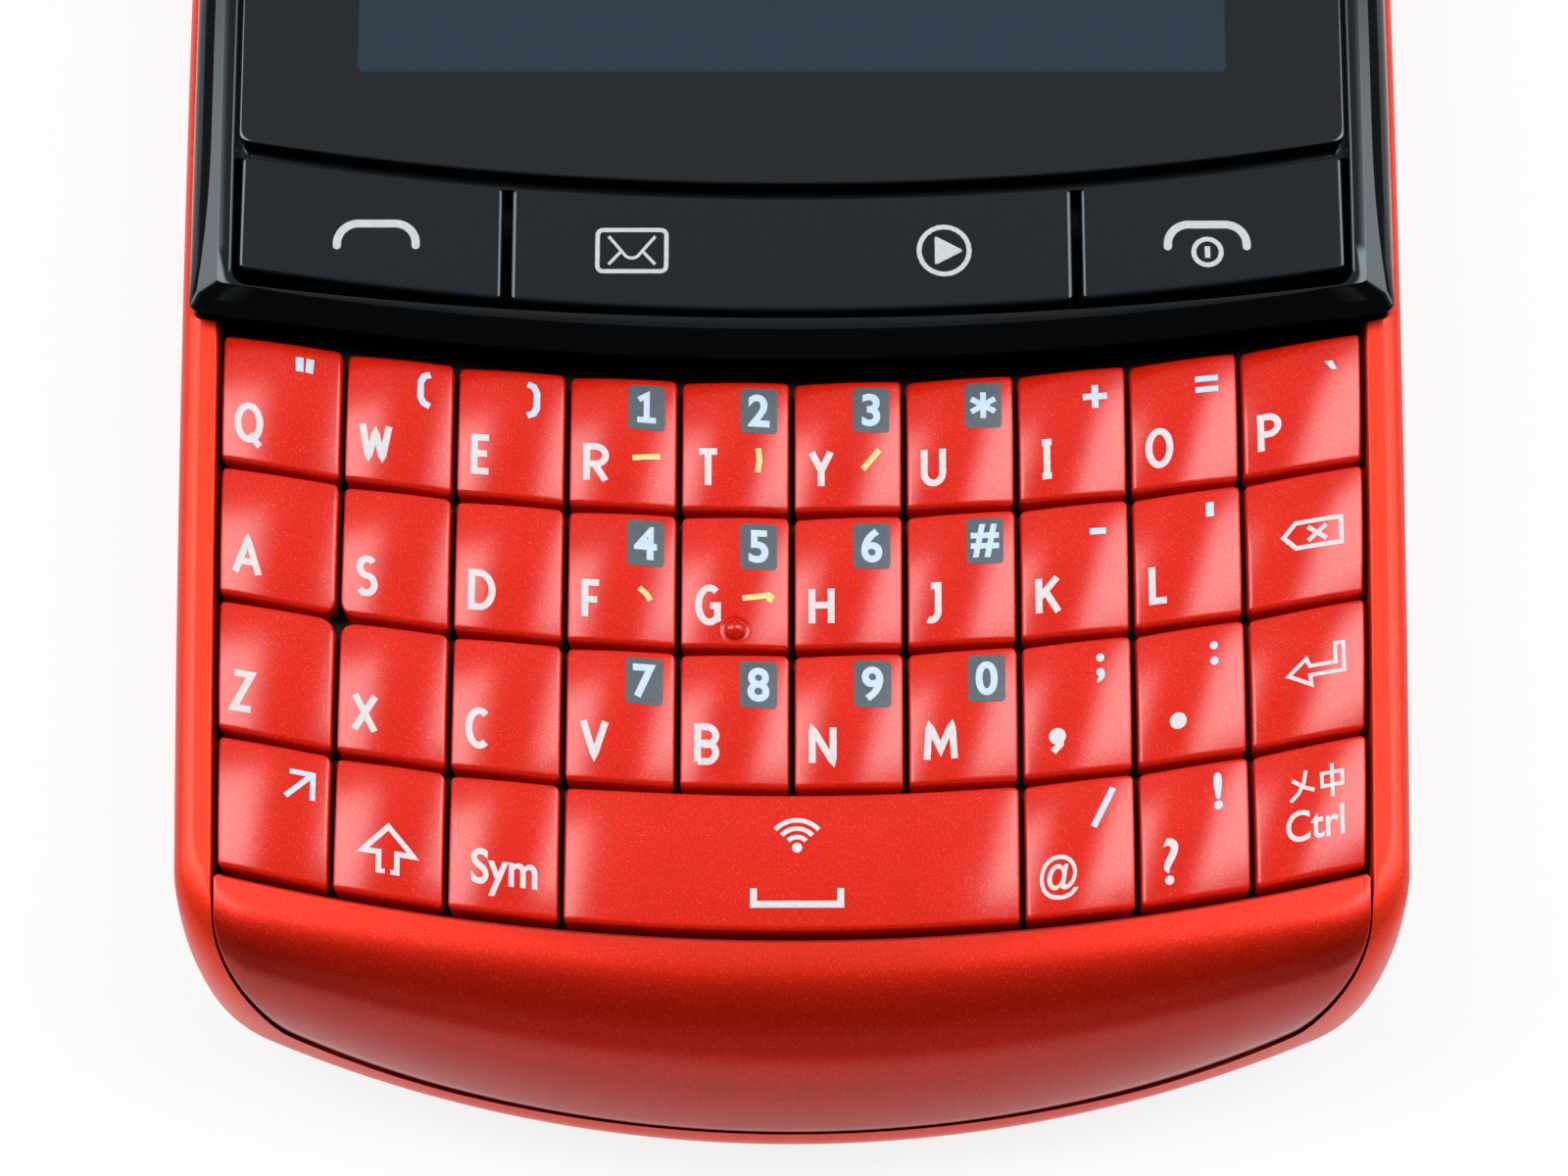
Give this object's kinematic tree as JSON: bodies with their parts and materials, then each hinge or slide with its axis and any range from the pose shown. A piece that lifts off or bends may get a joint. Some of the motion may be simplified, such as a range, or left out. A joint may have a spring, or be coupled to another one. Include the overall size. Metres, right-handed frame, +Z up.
{
  "type": "qwerty phone",
  "caption": "Bar phone with a touch screen, three navigation keys and a curved letter keyboard that presses, sockets on the end and a battery cover that slides off.",
  "frame": {"origin": "on the surface the phone lies on, under the middle of its length and width", "axes": "+X across the phone, +Y from the keyboard end to the earpiece end, +Z up out of the screen"},
  "size_m": [0.0558, 0.1164, 0.0139],
  "materials": {
    "red_shell": "satin metallic paint",
    "red_key": "satin metallic paint",
    "red_cover": "brushed and tinted",
    "side_key": "satin paint",
    "black_gloss": "piano black",
    "screen_glass": "polished",
    "display": "unlit panel",
    "black_glass": "polished",
    "black_plastic": "moulded",
    "silicone": "matte",
    "dome_steel": "bright",
    "board": "solder mask",
    "steel": "plated",
    "battery_can": "printed wrap"
  },
  "bodies": {
    "phone": {"rear_housing": "red_shell", "front_bezel": "black_gloss", "touch_glass": "screen_glass", "display_module": "display", "chin_cover": "red_shell", "keypad_mat": "silicone", "dome_sheet": "dome_steel", "circuit_board": "board", "camera_module": "black_plastic", "camera_window": "black_glass", "loudspeaker": "black_plastic", "earpiece": "black_plastic", "audio_jack": "black_plastic", "usb_socket": "steel", "charger_socket": "black_plastic", "case_screws": "steel", "battery": "battery_can"},
    "battery_cover": {"battery_cover": "red_cover"},
    "call_key": {"call_key": "black_gloss"},
    "menu_rocker": {"menu_rocker": "black_gloss"},
    "end_key": {"end_key": "black_gloss"},
    "volume_rocker": {"volume_rocker": "side_key"},
    "lock_key": {"lock_key": "side_key"},
    "key_q": {"key_q": "red_key"},
    "key_w": {"key_w": "red_key"},
    "key_e": {"key_e": "red_key"},
    "key_r": {"key_r": "red_key"},
    "key_t": {"key_t": "red_key"},
    "key_y": {"key_y": "red_key"},
    "key_u": {"key_u": "red_key"},
    "key_i": {"key_i": "red_key"},
    "key_o": {"key_o": "red_key"},
    "key_p": {"key_p": "red_key"},
    "key_a": {"key_a": "red_key"},
    "key_s": {"key_s": "red_key"},
    "key_d": {"key_d": "red_key"},
    "key_f": {"key_f": "red_key"},
    "key_g": {"key_g": "red_key"},
    "key_h": {"key_h": "red_key"},
    "key_j": {"key_j": "red_key"},
    "key_k": {"key_k": "red_key"},
    "key_l": {"key_l": "red_key"},
    "key_backspace": {"key_backspace": "red_key"},
    "key_z": {"key_z": "red_key"},
    "key_x": {"key_x": "red_key"},
    "key_c": {"key_c": "red_key"},
    "key_v": {"key_v": "red_key"},
    "key_b": {"key_b": "red_key"},
    "key_n": {"key_n": "red_key"},
    "key_m": {"key_m": "red_key"},
    "key_comma": {"key_comma": "red_key"},
    "key_period": {"key_period": "red_key"},
    "key_enter": {"key_enter": "red_key"},
    "key_fn": {"key_fn": "red_key"},
    "key_shift": {"key_shift": "red_key"},
    "key_sym": {"key_sym": "red_key"},
    "key_space": {"key_space": "red_key"},
    "key_at": {"key_at": "red_key"},
    "key_question": {"key_question": "red_key"},
    "key_ctrl": {"key_ctrl": "red_key"}
  },
  "joints": [
    {"name": "battery_cover_slide", "type": "slide", "parent": "phone", "child": "battery_cover", "axis": [0, -1, 0], "range_m": [0, 0.1]},
    {"name": "call_key_press", "type": "slide", "parent": "phone", "child": "call_key", "axis": [0, 0, -1], "range_m": [0, 0.0003], "stiffness_N_per_m": 800},
    {"name": "end_key_press", "type": "slide", "parent": "phone", "child": "end_key", "axis": [0, 0, -1], "range_m": [0, 0.0003], "stiffness_N_per_m": 800},
    {"name": "lock_key_press", "type": "slide", "parent": "phone", "child": "lock_key", "axis": [-1, 0, 0], "range_m": [0, 0.00025], "stiffness_N_per_m": 800},
    {"name": "menu_rocker_tilt", "type": "hinge", "parent": "phone", "child": "menu_rocker", "pos_m": [0, -0.0195, 0.0124], "axis": [0, 1, 0], "range_deg": [-1.3, 1.3], "stiffness_Nm_per_rad": 0.12},
    {"name": "side_volume_tilt", "type": "hinge", "parent": "phone", "child": "volume_rocker", "pos_m": [0.0262, 0.026, 0.0057], "axis": [0, 0, 1], "range_deg": [-1.5, 1.5], "stiffness_Nm_per_rad": 0.05},
    {"name": "typing_key_q", "type": "slide", "parent": "phone", "child": "key_q", "axis": [0, 0, -1], "range_m": [0, 0.0003], "stiffness_N_per_m": 800},
    {"name": "typing_key_w", "type": "slide", "parent": "phone", "child": "key_w", "axis": [0, 0, -1], "range_m": [0, 0.0003], "stiffness_N_per_m": 800},
    {"name": "typing_key_e", "type": "slide", "parent": "phone", "child": "key_e", "axis": [0, 0, -1], "range_m": [0, 0.0003], "stiffness_N_per_m": 800},
    {"name": "typing_key_r", "type": "slide", "parent": "phone", "child": "key_r", "axis": [0, 0, -1], "range_m": [0, 0.0003], "stiffness_N_per_m": 800},
    {"name": "typing_key_t", "type": "slide", "parent": "phone", "child": "key_t", "axis": [0, 0, -1], "range_m": [0, 0.0003], "stiffness_N_per_m": 800},
    {"name": "typing_key_y", "type": "slide", "parent": "phone", "child": "key_y", "axis": [0, 0, -1], "range_m": [0, 0.0003], "stiffness_N_per_m": 800},
    {"name": "typing_key_u", "type": "slide", "parent": "phone", "child": "key_u", "axis": [0, 0, -1], "range_m": [0, 0.0003], "stiffness_N_per_m": 800},
    {"name": "typing_key_i", "type": "slide", "parent": "phone", "child": "key_i", "axis": [0, 0, -1], "range_m": [0, 0.0003], "stiffness_N_per_m": 800},
    {"name": "typing_key_o", "type": "slide", "parent": "phone", "child": "key_o", "axis": [0, 0, -1], "range_m": [0, 0.0003], "stiffness_N_per_m": 800},
    {"name": "typing_key_p", "type": "slide", "parent": "phone", "child": "key_p", "axis": [0, 0, -1], "range_m": [0, 0.0003], "stiffness_N_per_m": 800},
    {"name": "typing_key_a", "type": "slide", "parent": "phone", "child": "key_a", "axis": [0, 0, -1], "range_m": [0, 0.0003], "stiffness_N_per_m": 800},
    {"name": "typing_key_s", "type": "slide", "parent": "phone", "child": "key_s", "axis": [0, 0, -1], "range_m": [0, 0.0003], "stiffness_N_per_m": 800},
    {"name": "typing_key_d", "type": "slide", "parent": "phone", "child": "key_d", "axis": [0, 0, -1], "range_m": [0, 0.0003], "stiffness_N_per_m": 800},
    {"name": "typing_key_f", "type": "slide", "parent": "phone", "child": "key_f", "axis": [0, 0, -1], "range_m": [0, 0.0003], "stiffness_N_per_m": 800},
    {"name": "typing_key_g", "type": "slide", "parent": "phone", "child": "key_g", "axis": [0, 0, -1], "range_m": [0, 0.0003], "stiffness_N_per_m": 800},
    {"name": "typing_key_h", "type": "slide", "parent": "phone", "child": "key_h", "axis": [0, 0, -1], "range_m": [0, 0.0003], "stiffness_N_per_m": 800},
    {"name": "typing_key_j", "type": "slide", "parent": "phone", "child": "key_j", "axis": [0, 0, -1], "range_m": [0, 0.0003], "stiffness_N_per_m": 800},
    {"name": "typing_key_k", "type": "slide", "parent": "phone", "child": "key_k", "axis": [0, 0, -1], "range_m": [0, 0.0003], "stiffness_N_per_m": 800},
    {"name": "typing_key_l", "type": "slide", "parent": "phone", "child": "key_l", "axis": [0, 0, -1], "range_m": [0, 0.0003], "stiffness_N_per_m": 800},
    {"name": "typing_key_backspace", "type": "slide", "parent": "phone", "child": "key_backspace", "axis": [0, 0, -1], "range_m": [0, 0.0003], "stiffness_N_per_m": 800},
    {"name": "typing_key_z", "type": "slide", "parent": "phone", "child": "key_z", "axis": [0, 0, -1], "range_m": [0, 0.0003], "stiffness_N_per_m": 800},
    {"name": "typing_key_x", "type": "slide", "parent": "phone", "child": "key_x", "axis": [0, 0, -1], "range_m": [0, 0.0003], "stiffness_N_per_m": 800},
    {"name": "typing_key_c", "type": "slide", "parent": "phone", "child": "key_c", "axis": [0, 0, -1], "range_m": [0, 0.0003], "stiffness_N_per_m": 800},
    {"name": "typing_key_v", "type": "slide", "parent": "phone", "child": "key_v", "axis": [0, 0, -1], "range_m": [0, 0.0003], "stiffness_N_per_m": 800},
    {"name": "typing_key_b", "type": "slide", "parent": "phone", "child": "key_b", "axis": [0, 0, -1], "range_m": [0, 0.0003], "stiffness_N_per_m": 800},
    {"name": "typing_key_n", "type": "slide", "parent": "phone", "child": "key_n", "axis": [0, 0, -1], "range_m": [0, 0.0003], "stiffness_N_per_m": 800},
    {"name": "typing_key_m", "type": "slide", "parent": "phone", "child": "key_m", "axis": [0, 0, -1], "range_m": [0, 0.0003], "stiffness_N_per_m": 800},
    {"name": "typing_key_comma", "type": "slide", "parent": "phone", "child": "key_comma", "axis": [0, 0, -1], "range_m": [0, 0.0003], "stiffness_N_per_m": 800},
    {"name": "typing_key_period", "type": "slide", "parent": "phone", "child": "key_period", "axis": [0, 0, -1], "range_m": [0, 0.0003], "stiffness_N_per_m": 800},
    {"name": "typing_key_enter", "type": "slide", "parent": "phone", "child": "key_enter", "axis": [0, 0, -1], "range_m": [0, 0.0003], "stiffness_N_per_m": 800},
    {"name": "typing_key_fn", "type": "slide", "parent": "phone", "child": "key_fn", "axis": [0, 0, -1], "range_m": [0, 0.0003], "stiffness_N_per_m": 800},
    {"name": "typing_key_shift", "type": "slide", "parent": "phone", "child": "key_shift", "axis": [0, 0, -1], "range_m": [0, 0.0003], "stiffness_N_per_m": 800},
    {"name": "typing_key_sym", "type": "slide", "parent": "phone", "child": "key_sym", "axis": [0, 0, -1], "range_m": [0, 0.0003], "stiffness_N_per_m": 800},
    {"name": "typing_key_space", "type": "slide", "parent": "phone", "child": "key_space", "axis": [0, 0, -1], "range_m": [0, 0.0003], "stiffness_N_per_m": 800},
    {"name": "typing_key_at", "type": "slide", "parent": "phone", "child": "key_at", "axis": [0, 0, -1], "range_m": [0, 0.0003], "stiffness_N_per_m": 800},
    {"name": "typing_key_question", "type": "slide", "parent": "phone", "child": "key_question", "axis": [0, 0, -1], "range_m": [0, 0.0003], "stiffness_N_per_m": 800},
    {"name": "typing_key_ctrl", "type": "slide", "parent": "phone", "child": "key_ctrl", "axis": [0, 0, -1], "range_m": [0, 0.0003], "stiffness_N_per_m": 800}
  ]
}
